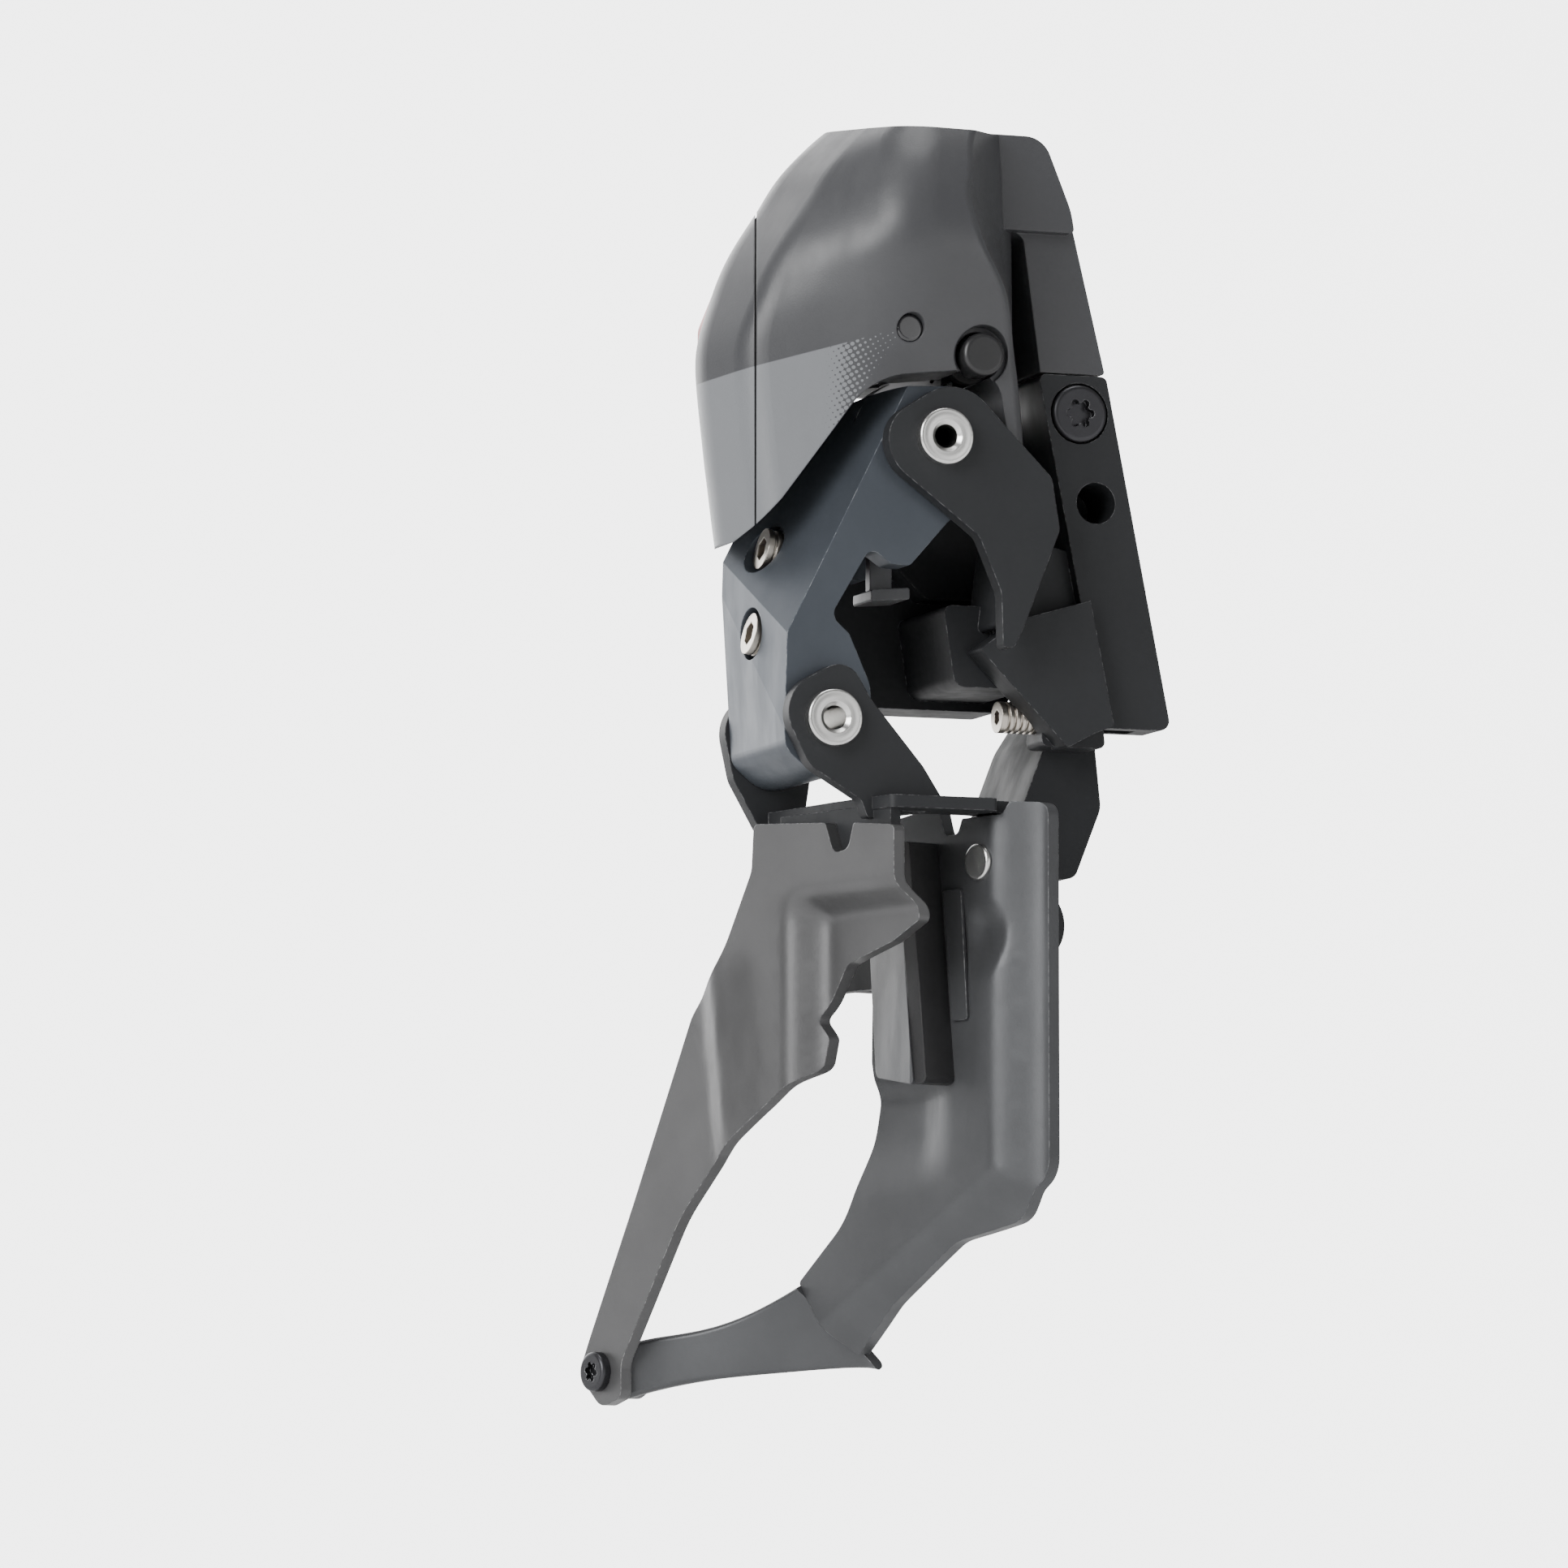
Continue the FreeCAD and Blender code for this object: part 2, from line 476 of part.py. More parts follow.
def make_housing():
    """Main shell with the spine that bolts to the bar, and the bay for motor and board."""
    body = housing_blank("motor_housing")
    shave(body, "Seam", (dim("cover_plane"), dim("seam_y"), 0), (-SEAM_NORMAL[0], -SEAM_NORMAL[1], 0))
    spine = [(11.0, 9.8), (24.0, 9.8, 0.4), (19.5, 28.8, 14.0), (15.6, 38.4, 3.2), (0.0, 38.4), (0.0, 12.0)]
    pad(body, "SpineBack", "XZ_Plane", -19, 11, [spine])
    fin = [(15.6, 9.8), (24.0, 9.8, 0.4), (19.5, 28.8, 14.0), (15.6, 38.4, 3.2), (0.0, 38.4), (0.0, 26.6),
           (13.4, 26.6, 1.5)]
    pad(body, "SpineFin", "XZ_Plane", -8, 12, [fin])
    shelf = [(0.0, 26.6), (0.0, 38.1), (15.4, 38.1, 3.4), (19.0, 29.2, 10.0), (19.4, 26.6, 0.5)]
    pad(body, "Shelf", "XZ_Plane", -6.2, 4, [shelf])
    rear = [(-8.6, -3.0), (-8.6, 8.9), (13.0, 8.9), (13.0, -3.0)]
    pocket(body, "RearEarRelief", "XZ_Plane", -21.4, 20, [rear])
    pocket(body, "Bay", "XZ_Plane", -9, 22, [BAY])
    pocket(body, "ButtonWell", "XZ_Plane", 3, 4.6, circles=[BUTTON + (3.5,)])
    pocket(body, "ButtonBore", "XZ_Plane", 3, 16, circles=[BUTTON + (2.9,)])
    pocket(body, "LensBore", "XZ_Plane", 3, 16, circles=[LENS + (1.7,)])
    pocket(body, "SectorRelief", "XZ_Plane", -9.2, 3.6, circles=[(0, 0, 9.9)])
    pocket(body, "PinionWell", "XZ_Plane", -9.2, 3.9, circles=[PINION + (3.8,)])
    return body


def make_cover():
    """Outboard cover, parted from the housing along a straight seam."""
    body = housing_blank("housing_cover")
    shave(body, "Seam", (dim("cover_plane") - dim("seam_gap"), dim("seam_y"), 0), SEAM_NORMAL)
    return body


def make_cover_seal():
    """Flat seal that fills the seam, set back from the outside so that the seam shows dark."""
    body = housing_blank("cover_seal", SEAL_INSET)
    outboard = [-part for part in SEAM_NORMAL]
    shave(body, "InboardFace", (dim("cover_plane"), dim("seam_y"), 0), SEAM_NORMAL)
    shave(body, "OutboardFace", (dim("cover_plane") - dim("seam_gap"), dim("seam_y"), 0), outboard)


make_housing()
make_cover()
make_cover_seal()


# ---------------------------------------------------------------- cage
OUTER_FRAME = FreeCAD.Placement(Vector(-8.6, -6.0, 0), FreeCAD.Rotation(Vector(0, 0, 1), dim("outer_yaw")))
INNER_FRAME = FreeCAD.Placement(Vector(7.0, -6.0, 0), FreeCAD.Rotation(Vector(0, 0, 1), dim("outer_yaw")))


def ease(value, low, high):
    """0 below low, 1 above high, smooth between."""
    part = min(max((value - low) / (high - low), 0.0), 1.0)
    return part * part * (3 - 2 * part)


def outer_form(run, z):
    """How far the outer plate is pressed towards the chain: a ledge in front, and a long ridge."""
    step = 3.8 * (1 - ease(run, 16.5, 21.0)) * ease(-z, 53.4, 56.8)
    crest = 34.1 - 0.135 * (-z - 63.2)
    ridge = max(0.0, 1 - max((crest - run) / 7.0, (run - crest) / 3.0))
    return step - 0.9 * ridge * ease(-z, 58.0, 64.0) * (1 - ease(-z, 80.0, 90.0))


def inner_form(run, z):
    """The inner plate's front and lower flange, turned away from the chain, and its swages."""
    to_lower_edge = 0.4665 * (run - 6.0) + 0.884 * (z + 93.2)
    flange = 4.2 * (1 - ease(min(run, to_lower_edge), -0.6, 5.6))
    upper = 1.2 * (ease(-z, 55.0, 58.0) - ease(-z, 59.0, 65.0)) * (1 - ease(run, 7.0, 11.0))
    lower = 1.3 * (ease(-z, 75.0, 78.0) - ease(-z, 82.0, 90.0)) * ease(run, 12.0, 20.0)
    return max(flange, upper) + lower


def pressed_plate(label, frame, outline, form, spans, holes):
    """A stamped plate: a smooth surface trimmed to an outline and given the sheet's thickness."""
    (run_low, run_high), (z_low, z_high) = spans
    count_run, count_z = 60, 72
    grid = []
    for i in range(count_run + 1):
        run = run_low + (run_high - run_low) * i / count_run
        column = []
        for j in range(count_z + 1):
            z = z_low + (z_high - z_low) * j / count_z
            column.append(Vector(form(run, z), run, z))
        grid.append(column)
    surface = Part.BSplineSurface()
    run_knots = [4] + [1] * (count_run - 3) + [4]
    z_knots = [4] + [1] * (count_z - 3) + [4]
    surface.buildFromPolesMultsKnots(grid, run_knots, z_knots,
                                     range(count_run - 1), range(count_z - 1), False, False, 3, 3)
    curves = [curve.toShape() for curve in rounded(outline)]
    trim = Part.Face(Part.Wire(Part.__sortEdges__(curves)))
    trim.Placement = FreeCAD.Placement(Vector(-12, 0, 0), FreeCAD.Rotation(Vector(1, 1, 1), 120))
    prism = trim.extrude(Vector(40, 0, 0))
    sheet_face = surface.toShape().common(prism)
    plate = sheet_face.Faces[0].extrude(Vector(dim("plate_thick"), 0, 0))
    for run, z, radius in holes:
        plate = plate.cut(Part.makeCylinder(radius, 30, Vector(-12, run, z), Vector(1, 0, 0)))
    made = doc.addObject("Part::Feature", label)
    made.Shape = plate
    return keep(made, label, frame)


TAIL_SCREW = (57.4, -109.4)
RIVETS_INNER = ((7.2, -50.4), (23.2, -57.0))
OUTER_OUTLINE = [
    (0.0, -47.0, 0.8), (7.6, -46.2, 0.5), (8.6, -49.2, 1.4), (11.4, -49.6, 1.4), (13.0, -45.8, 0.5),
    (26.8, -44.9, 0.8), (27.2, -50.5, 3.0), (34.6, -62.9, 6.0), (38.9, -67.2, 6.0),
    (50.5, -89.2, 60.0), (59.2, -105.0, 4.0), (61.6, -109.6, 2.4), (57.0, -113.8, 2.4),
    (53.0, -112.6, 1.2), (53.0, -108.4, 2.5), (41.3, -91.4, 20.0), (33.6, -84.4, 5.0),
    (25.8, -79.4, 20.0), (17.4, -74.6, 2.0), (16.8, -71.0, 1.0), (18.0, -68.8, 1.2),
    (13.6, -62.4, 2.0), (5.0, -60.2, 2.0), (0.0, -58.0, 0.8)]
INNER_OUTLINE = [
    (-0.6, -43.6, 1.6), (3.2, -43.4, 0.5), (4.0, -45.0, 0.5), (10.4, -45.0, 0.4), (11.2, -46.8, 1.0),
    (13.6, -46.8, 1.0), (14.8, -43.2, 0.6),
    (27.0, -44.6, 2.0), (27.6, -73.0, 2.0), (27.0, -76.0, 3.0), (28.4, -82.0, 20.0),
    (32.4, -91.6, 12.0), (41.8, -98.9, 0.5), (35.0, -107.8, 0.5), (26.7, -101.9, 20.0),
    (18.0, -97.0, 8.0), (14.2, -94.9, 8.0), (4.4, -92.8, 5.0), (-0.6, -87.4, 5.0)]


def make_cage_plates():
    """The two stamped plates that guide the chain between them."""
    pressed_plate("outer_cage_plate", OUTER_FRAME, OUTER_OUTLINE, outer_form,
                  ((-2.0, 64.0), (-116.0, -42.0)),
                  [TAIL_SCREW + (1.3,)])
    pressed_plate("inner_cage_plate", INNER_FRAME, INNER_OUTLINE, inner_form,
                  ((-3.0, 46.0), (-110.0, -42.0)),
                  [(run, z, 1.5) for run, z in RIVETS_INNER])


make_cage_plates()


def make_cage_bracket():
    """Folded carrier: ears of the lower outer pivot, cross web, bridge and tabs to both plates."""
    body = new_body("cage_bracket")
    x, z = LINK_PIVOT
    ear = dim("ear_radius")
    boss = [turned(LINK_PIVOT, ear * 1.3, 160) + (ear,), turned(LINK_PIVOT, ear * 1.35, 75) + (ear,),
            (-9.2, -31.6, 3.0), (-2.6, -39.4, 2.0), (0.6, -44.4, 0.6), (-9.6, -45.8, 0.6),
            (-10.4, -43.6, 1.5), (-16.8, -39.8, 3.0)]
    pad(body, "FrontEar", "XZ_Plane", 0, "Dimensions.ear_thick", [boss])
    rear = [turned(LINK_PIVOT, ear * 1.3, 150) + (ear,), turned(LINK_PIVOT, ear * 1.35, 60) + (ear,),
            (-8.4, -36.0, 2.0), (-9.8, -45.4, 0.6), (-15.2, -45.4, 0.6), (-18.6, -39.4, 3.0)]
    pad(body, "RearEar", "XZ_Plane", "-Dimensions.rear_ear_front", "Dimensions.ear_thick", [rear])
    web = [(-8.0, -3.8, 1.0), (5.5, -3.6, 0.6), (5.4, -1.1), (8.3, -0.2, 0.3), (6.9, 4.1, 0.3), (3.8, 3.1),
           (-3.0, 2.6, 1.5), (-8.6, 12.0, 1.0),
           (-9.8, 24.0, 0.6), (-14.6, 24.0, 0.6), (-11.2, 8.0)]
    pad(body, "CrossWeb", "XY_Plane", -43.2, 1.5, [web])
    for name, frame, x_off, outline in (
            ("OuterTab", OUTER_FRAME, 1.6,
             [(2.6, -44.2), (23.6, -44.2), (23.6, -51.4, 1.5), (2.6, -52.0, 1.5)]),
            ("InnerTab", INNER_FRAME, 1.6,
             [(5.2, -43.4), (9.6, -43.4), (9.6, -52.8, 1.5), (5.2, -52.8, 1.5)])):
        turn = FreeCAD.Placement(Vector(x_off, 0, 0), FreeCAD.Rotation(Vector(1, 1, 1), 120))
        pad(body, name, "XY_Plane", 0, 1.5, [outline], back=False, tip=frame.multiply(turn))
    turn = FreeCAD.Placement(Vector(5, 0, 0), FreeCAD.Rotation(Vector(1, 1, 1), 120))
    pocket(body, "RivetHole", "XY_Plane", 0, 10, circles=[RIVETS_INNER[0] + (1.5,)],
           tip=INNER_FRAME.multiply(turn))
    pocket(body, "PinBore", "XZ_Plane", 1, 30, circles=[(x, z, "Dimensions.pin_radius")])
    return body


def make_inner_carrier():
    """Two ears of the lower inner pivot on a flange that is riveted to the inner plate."""
    body = new_body("inner_carrier")
    ear = dim("ear_radius")
    turn = FreeCAD.Placement(Vector(dim("plate_thick"), 0, 0), FreeCAD.Rotation(Vector(1, 1, 1), 120))
    flange = [(17.2, -51.0, 2.0), (42.6, -51.0, 2.0), (42.6, -64.0, 2.0), (17.2, -64.0, 2.0)]
    pad(body, "Flange", "XY_Plane", 0, 1.8, [flange], back=False, tip=INNER_FRAME.multiply(turn))
    for name, front, left in (("FrontEar", 11.8, 3.9), ("RearEar", 32.0, -3.0)):
        outline = [(left, -51.6), turned(CAGE_PIVOT, ear * 1.3, 70) + (ear,),
                   turned(CAGE_PIVOT, ear * 1.35, -15) + (ear,),
                   turned(CAGE_PIVOT, ear * 1.3, -105) + (ear,),
                   (left, -63.4)]
        pad(body, name, "XZ_Plane", -front, "Dimensions.ear_thick", [outline])
    pocket(body, "PinBore", "XZ_Plane", -5, 40,
           circles=[CAGE_PIVOT + ("Dimensions.pin_radius",)])
    turn = FreeCAD.Placement(Vector(8, 0, 0), FreeCAD.Rotation(Vector(1, 1, 1), 120))
    pocket(body, "RivetHole", "XY_Plane", 0, 12, circles=[RIVETS_INNER[1] + (1.5,)],
           tip=INNER_FRAME.multiply(turn))
    return body


def rivet(frame, run, z, low, high):
    """A rivet through a plate and what backs it, with a low head each side."""
    along = Vector(1, 0, 0)
    solid = Part.makeCylinder(1.5, high - low, Vector(low, run, z), along)
    solid = solid.fuse(Part.makeCylinder(2.2, 0.6, Vector(low - 0.6, run, z), along))
    solid = solid.fuse(Part.makeCylinder(2.2, 0.6, Vector(high, run, z), along)).removeSplitter()
    rims = [edge for edge in solid.Edges if edge.Length > 13 and
            (edge.BoundBox.XMin < low - 0.5 or edge.BoundBox.XMin > high + 0.5)]
    solid = solid.makeFillet(0.35, rims)
    solid.Placement = frame
    return solid


def make_cage_rivets():
    """Rivets that hold the bracket and the carrier to the inner plate."""
    backing = (1.5, 1.8)
    solids = [rivet(INNER_FRAME, *place, 0.0, dim("plate_thick") + thick)
              for place, thick in zip(RIVETS_INNER, backing)]
    return group("cage_rivets", solids)


def make_guide_insert():
    """Moulded pad that steadies the chain, its clip on the inner plate, and its hard front edge."""
    turn = FreeCAD.Placement(Vector(0, 0, 0), FreeCAD.Rotation(Vector(1, 1, 1), 120))
    body = new_body("chain_guide_insert", INNER_FRAME)
    block = [(16.4, -58.0, 0.8), (25.2, -60.0, 0.8), (23.6, -75.2, 1.2), (14.0, -76.6, 0.5)]
    pad(body, "Pad", "XY_Plane", 0, 4.6, [block], tip=turn)
    shave(body, "PadSlope", (-4.6, 14.6, -66.0), (-0.97, 0.22, 0))
    edge = new_body("guide_edge", INNER_FRAME)
    strip = [(14.9, -47.6, 0.5), (16.8, -47.6, 0.5), (16.3, -58.0), (13.9, -76.6, 0.4), (11.8, -76.4, 0.8)]
    pad(edge, "Strip", "XY_Plane", 0, 4.4, [strip], tip=turn)
    clip = new_body("guide_clip", INNER_FRAME)
    tongue = [(10.2, -53.4, 0.5), (13.6, -53.4, 0.3), (12.0, -69.0, 0.3), (9.0, -69.0, 0.5)]
    pad(clip, "Tongue", "XY_Plane", 0, 0.4, [tongue], tip=turn)


def make_tail_bridge():
    """Curved arm that closes the cage behind, from the inner plate's end to the outer plate's."""
    body = new_body("tail_bridge")
    profiles = []
    stations = (  # X, Y, Z, heading and lean in degrees, height, thickness
        (-0.6, 26.6, -102.2, 108.0, 25.0, 16.0, 1.6), (-2.1, 31.4, -103.4, 110.0, 25.0, 12.4, 1.7),
        (-7.4, 37.4, -105.4, 124.0, 14.0, 8.6, 2.2), (-13.6, 42.2, -107.2, 142.0, 4.0, 6.4, 2.4),
        (-19.4, 45.7, -108.4, 155.0, 0.0, 6.4, 2.6), (-23.0, 47.1, -109.4, 162.0, 0.0, 6.6, 2.8))
    for number, (x, y, z, heading, lean, high, thick) in enumerate(stations):
        way = Vector(math.cos(math.radians(heading)), math.sin(math.radians(heading)), 0)
        level = Vector(0, 0, 1).cross(way)
        side = level * math.cos(math.radians(lean)) - Vector(0, 0, 1) * math.sin(math.radians(lean))
        up = way.cross(side)
        matrix = FreeCAD.Matrix(side.x, up.x, way.x, x, side.y, up.y, way.y, y,
                                side.z, up.z, way.z, z, 0, 0, 0, 1)
        upright = FreeCAD.Placement(matrix)
        half_t, half_h = thick / 2, high / 2
        outline = [(-half_t, -half_h, 0.6), (half_t, -half_h, 0.6),
                   (half_t, half_h, 0.6), (-half_t, half_h, 0.6)]
        profiles.append(sketch(body, f"Station{number}", "XY_Plane", 0, [outline], tip=upright))
    loft = body.newObject("PartDesign::AdditiveLoft", "Arm")
    loft.Profile = profiles[0]
    loft.Sections = profiles[1:]
    doc.recompute()
    seam = INNER_FRAME.multVec(Vector(0, 38.6, -103.1))
    away = INNER_FRAME.Rotation.multVec(Vector(0, -0.795, 0.607))
    shave(body, "Seam", tuple(seam), tuple(away))
    turn = FreeCAD.Placement(Vector(dim("plate_thick"), 0, 0), FreeCAD.Rotation(Vector(1, 1, 1), 120))
    pad(body, "Boss", "XY_Plane", 0, 4.2, circles=[TAIL_SCREW + (3.2,)], back=False,
        tip=OUTER_FRAME.multiply(turn))
    turn = FreeCAD.Placement(Vector(9, 0, 0), FreeCAD.Rotation(Vector(1, 1, 1), 120))
    pocket(body, "ScrewBore", "XY_Plane", 0, 12, circles=[TAIL_SCREW + (1.3,)],
           tip=OUTER_FRAME.multiply(turn))
    return body


make_cage_bracket()
make_inner_carrier()
make_cage_rivets()
make_guide_insert()
make_tail_bridge()


# ---------------------------------------------------------------- small parts of the housing
def make_button():
    """Mode button: domed cap on a stem, free to travel in its well."""
    body = new_body("mode_button")
    pad(body, "Cap", "XZ_Plane", 0.6, 3.4, circles=[BUTTON + (2.6,)])
    pad(body, "Stem", "XZ_Plane", -2.8, 5.6, circles=[BUTTON + (1.2,)])
    soften(body, "Dome", 0.6, lambda edge: edge.BoundBox.YMax < -0.5, "Fillet")
    return body


def make_lens():
    """Light guide of the status light."""
    body = new_body("status_lens")
    pad(body, "Guide", "XZ_Plane", 0.3, 8.5, circles=[LENS + (1.7,)])
    soften(body, "Rim", 0.4, lambda edge: edge.BoundBox.YMax < -0.2, "Fillet")
    return body


def make_button_seal():
    """Rubber ring that seals the button's stem."""
    body = new_body("button_seal")
    pad(body, "Ring", "XZ_Plane", -4.6, 1.4, circles=[BUTTON + (2.9,), BUTTON + (1.3,)])
    return body


TRAY = [(-18.2, 9.4, 2.0), (12.2, 9.4, 2.0), (12.2, 36.4, 3.0), (-2.8, 36.4, 3.0), (-15.2, 25.4, 5.0),
        (-18.2, 17.0, 4.0)]
SEAL_RIM = [(-12.0, 9.4, 2.0), (12.2, 9.4, 2.0), (12.2, 34.6, 3.0), (-5.6, 34.6, 3.0), (-12.0, 26.8, 3.0)]
BLOCK = [(-17.4, 10.6, 2.0), (11.4, 10.6, 2.0), (11.4, 33.4, 3.0), (-4.0, 33.4, 3.0), (-14.4, 24.8, 5.0),
         (-17.4, 17.6, 3.0)]
CONTACTS = [(-7.5 + 3.0 * i, 14.0) for i in range(4)]
LATCH = (34.6, 35.8)
LATCH_X, LATCH_WIDE = 1.6, 7.6


def make_gasket():
    """Rubber frame between the bay's rim and the tray."""
    body = new_body("housing_gasket")
    pad(body, "Frame", "XZ_Plane", "-Dimensions.bay_back", 0.6, [SEAL_RIM, BAY])


def make_tray():
    """Plate that closes the bay behind, with the contacts' holes and two lugs for the latch."""
    body = new_body("battery_tray")
    pad(body, "Plate", "XZ_Plane", -30.6, 2.2, [TRAY])
    lug = [(32.0, 33.9), (36.4, 33.9, 1.2), (36.4, 37.6, 1.8), (32.8, 37.6, 1.8), (32.0, 36.0)]
    for name, x in (("LugLeft", LATCH_X - 2.2), ("LugRight", LATCH_X + LATCH_WIDE + 0.2)):
        pad(body, name, "YZ_Plane", x, 2, [lug], back=False)
    pocket(body, "LatchPinBore", "YZ_Plane", 15, 18, circles=[LATCH + (0.8,)])
    pocket(body, "ContactHoles", "XZ_Plane", -30, 4, circles=[place + (0.9,) for place in CONTACTS])


def make_block():
    """Red block that covers the contacts while no battery is fitted, with a finger groove."""
    body = new_body("terminal_cover")
    pad(body, "Block", "XZ_Plane", -32.8, 6.4, [BLOCK])
    recess = [(-10.0, 12.2, 0.6), (4.0, 12.2, 0.6), (4.0, 15.8, 0.6), (-10.0, 15.8, 0.6)]
    pocket(body, "ContactRecess", "XZ_Plane", -32.8, 1.6, [recess])
    grip = [(-12.0, 19.0, 1.4), (6.0, 19.0, 1.4), (6.0, 22.0, 1.4), (-12.0, 22.0, 1.4)]
    pocket(body, "Grip", "XZ_Plane", -38.2, 3, [grip])
    soften(body, "Rim", 1.0, lambda edge: edge.BoundBox.YMin > 39.1
           and (edge.BoundBox.XMin < -12.5 or edge.BoundBox.XMax > 7 or edge.BoundBox.ZMax < 11
                or edge.BoundBox.ZMin > 23))


def make_latch():
    """Lever that hooks over the block, and the pin it turns on."""
    body = new_body("battery_latch")
    side = [(33.1, 34.2, 1.4), (39.7, 34.2, 0.4), (39.7, 29.4, 0.4), (41.4, 29.4, 0.8), (41.4, 36.0, 1.6),
            (36.6, 36.2, 2.0), (35.4, 37.4, 1.0), (33.1, 37.4, 1.2)]
    pad(body, "Lever", "YZ_Plane", LATCH_X, LATCH_WIDE, [side], back=False)
    pocket(body, "PinBore", "YZ_Plane", 15, 18, circles=[LATCH + (0.85,)])
    pin = new_body("latch_pin")
    pad(pin, "Pin", "YZ_Plane", LATCH_X - 2.2, LATCH_WIDE + 4.4, circles=[LATCH + (0.8,)], back=False)


def make_inner_works():
    """Motor, gearbox, board and contacts inside the bay."""
    motor = new_body("motor_can")
    pad(motor, "Can", "XY_Plane", 12.6, 14.0, circles=[(4.7, 19.0, 4.0)], back=False)
    pad(motor, "Boss", "XY_Plane", 26, 1.8, circles=[(4.7, 19.0, 1.4)], back=False)
    gearbox = new_body("gearbox")
    case = [(-9.7, 10.6, 1.0), (0.4, 10.6, 1.0), (0.4, 28.4, 1.0), (8.4, 28.4, 1.0), (8.4, 30.8, 1.0),
            (-6.4, 30.8, 2.0), (-9.7, 26.0, 2.0)]
    pad(gearbox, "Case", "XZ_Plane", -13.4, 12, [case])
    pocket(gearbox, "ShaftBore", "XZ_Plane", -13, 9, circles=[PINION + (1.05,)])
    board = new_body("circuit_board")
    sheet_outline = [(-9.7, 10.6, 2.0), (8.4, 10.6, 2.0), (8.4, 30.9, 2.0), (-6.3, 30.9, 2.0),
                     (-9.7, 26.0, 2.0)]
    pad(board, "Board", "XZ_Plane", -26.6, 1.2, [sheet_outline])
    pins = [Part.makeCylinder(0.7, 6.0, Vector(x, 27.8, z), Vector(0, 1, 0)) for x, z in CONTACTS]
    group("contact_pins", pins)


def star_screw(face, axis, head, head_thick, radius, length):
    """A button-head screw with a six-lobed socket."""
    screw = Part.makeCylinder(head, head_thick, face, axis)
    rim = [edge for edge in screw.Edges if edge.Length > 6 * head
           and Part.Vertex(face).distToShape(edge)[0] < head + 0.01]
    screw = screw.makeFillet(0.35 * head_thick, rim[:1])
    screw = screw.fuse(Part.makeCylinder(radius, length, face + axis * head_thick, axis))
    lobe = head * 0.14
    cutter = Part.makeCylinder(head * 0.36, head_thick * 0.7, Vector(0, 0, -0.05))
    for i in range(6):
        angle = math.radians(60 * i)
        place = Vector(math.cos(angle), math.sin(angle), 0) * (head * 0.38) + Vector(0, 0, -0.05)
        cutter = cutter.fuse(Part.makeCylinder(lobe, head_thick * 0.7, place))
    cutter.Placement = FreeCAD.Placement(face, FreeCAD.Rotation(Vector(0, 0, 1), axis))
    return screw.cut(cutter)


def make_screws():
    """Bar screw, tail screw and the support screw that braces against the bicycle frame."""
    x, z = bar_point(dim("bar_width") / 2, 5.0)
    group("bar_screw", [star_screw(Vector(x, 7.6, z), Vector(0, 1, 0), 3.5, 1.6, 2.0, 7.6)])
    inward = OUTER_FRAME.Rotation.multVec(Vector(1, 0, 0))
    face = OUTER_FRAME.multVec(Vector(-1.3, *TAIL_SCREW))
    group("tail_screw", [star_screw(face, inward, dim("tail_screw_head"), 1.3, 1.3, 5.6)])
    start = Vector(11.2, SUPPORT_Y, SUPPORT_Z)
    group("support_screw", [set_screw(start, Vector(1, 0, 0), dim("support_radius"), 11.5, 1.6)])


# ---------------------------------------------------------------- drive: sector and pinion
MODULE = 0.5
SECTOR_TEETH, PINION_TEETH = 36, 12
PRESSURE = math.radians(25)


def tooth(teeth, at, play=0.05):
    """One involute tooth centred on an angle in degrees, as a closed wire in the X-Z plane."""
    pitch = MODULE * teeth / 2
    base, tip, root = pitch * math.cos(PRESSURE), pitch + MODULE, pitch - 1.2 * MODULE
    half_pitch = (math.pi * MODULE / 2 - play) / 2 / pitch
    involute = math.tan(PRESSURE) - PRESSURE
    flank = []
    for i in range(7):
        radius = max(base, root) + (tip - max(base, root)) * i / 6
        turn = math.acos(min(base / radius, 1.0))
        flank.append((radius, half_pitch + involute - (math.tan(turn) - turn)))
    flank.insert(0, (root - 0.3, flank[0][1]))
    around = [(r, -a) for r, a in flank] + [(r, a) for r, a in reversed(flank)]
    middle = math.radians(at)
    points = [Vector(r * math.cos(middle + a), 0, r * math.sin(middle + a)) for r, a in around]
    return Part.Face(Part.makePolygon(points + points[:1]))


def make_drive():
    """The sector that turns the outer link, and the pinion of the gearbox in mesh with it."""
    front, thick = Vector(0, 9.4, 0), Vector(0, 3.2, 0)
    disc = Part.makeCylinder(8.2, 3.2, front, Vector(0, 1, 0))
    for k in range(-5, 2):
        disc = disc.fuse(tooth(SECTOR_TEETH, PINION_DIRECTION + 10.0 * k).extrude(thick).translate(front))
    disc = disc.removeSplitter().cut(Part.makeCylinder(5.2, 5, Vector(0, 9, 0), Vector(0, 1, 0)))
    group("drive_sector", [disc])
    centre = Vector(PINION[0], 9.6, PINION[1])
    hub = Part.makeCylinder(MODULE * PINION_TEETH / 2 - 1.2 * MODULE, 2.8, centre, Vector(0, 1, 0))
    step = 360.0 / PINION_TEETH
    for k in range(PINION_TEETH):
        angle = PINION_DIRECTION + 180.0 + step * (k + 0.5)
        hub = hub.fuse(tooth(PINION_TEETH, angle).extrude(Vector(0, 2.8, 0)).translate(centre))
    shaft = Part.makeCylinder(1.0, 8.8, centre + Vector(0, 2.8, 0), Vector(0, 1, 0))
    group("drive_pinion", [hub.fuse(shaft).removeSplitter()])


